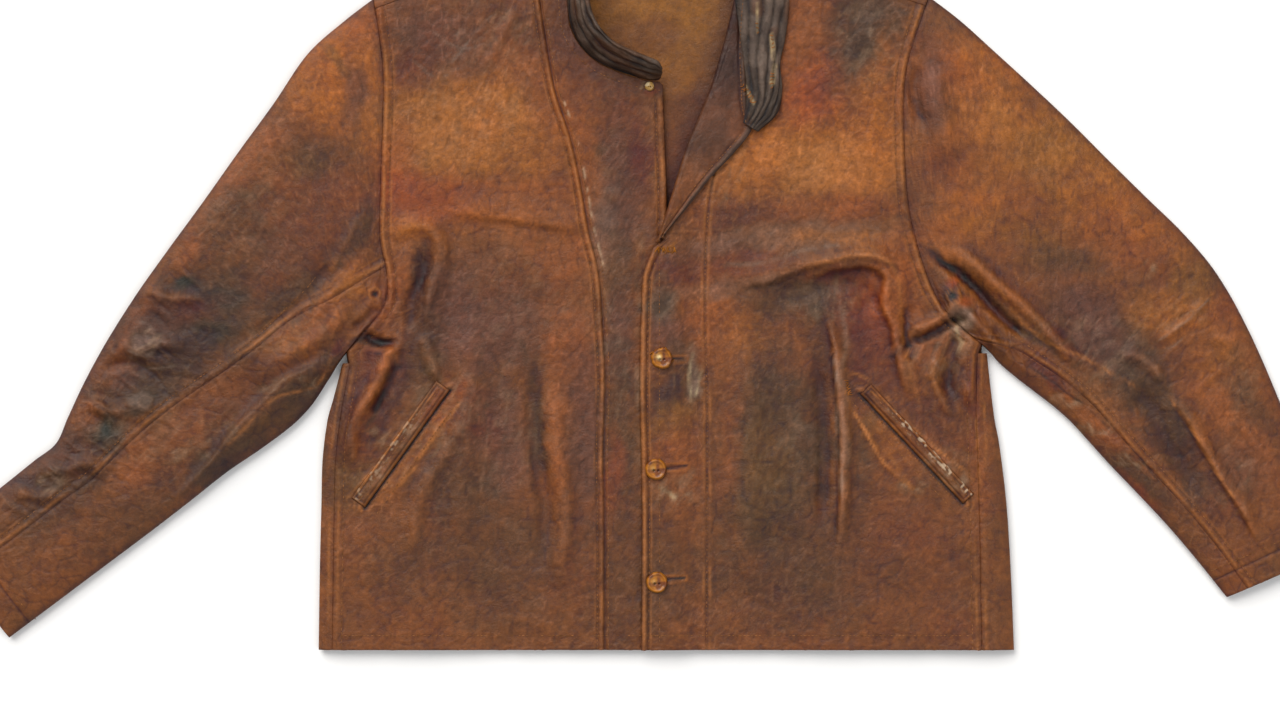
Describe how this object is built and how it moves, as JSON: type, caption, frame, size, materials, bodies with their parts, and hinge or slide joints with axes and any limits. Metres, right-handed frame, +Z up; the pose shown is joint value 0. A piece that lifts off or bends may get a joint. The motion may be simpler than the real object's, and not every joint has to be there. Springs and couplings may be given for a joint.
{
  "type": "leather jacket",
  "caption": "Waist-length worn brown leather jacket laid flat, buttoned low, with one lapel turned back, a narrow dark band collar and slanted welt pockets.",
  "frame": {"origin": "on the resting surface, under the back panel at the middle of the chest, below the front opening", "axes": "+Z up from the surface through the front of the jacket, +X to the wearer's left, +Y to the collar"},
  "size_m": [1.27, 0.6644, 0.0381],
  "materials": {
    "body_leather": "worn satin, orange-brown with dark rubbed patches",
    "sleeve_leather": "worn satin, brown with dark rubbed patches",
    "facing_leather": "dark, dry and cracked",
    "collar_leather": "dark grey-brown, creased",
    "button": "worn horn-like ochre",
    "stud": "dull, worn pale"
  },
  "bodies": {
    "root": {"back": "body_leather", "front_right": "body_leather", "front_left": "body_leather", "lapel_left": "facing_leather", "sleeve_upper_right": "sleeve_leather", "sleeve_under_right": "sleeve_leather", "sleeve_upper_left": "sleeve_leather", "sleeve_under_left": "sleeve_leather", "collar": "collar_leather", "welt_right": "body_leather", "welt_left": "body_leather", "button_upper": "button", "button_middle": "button", "button_lower": "button", "collar_stud": "stud"}
  },
  "joints": []
}
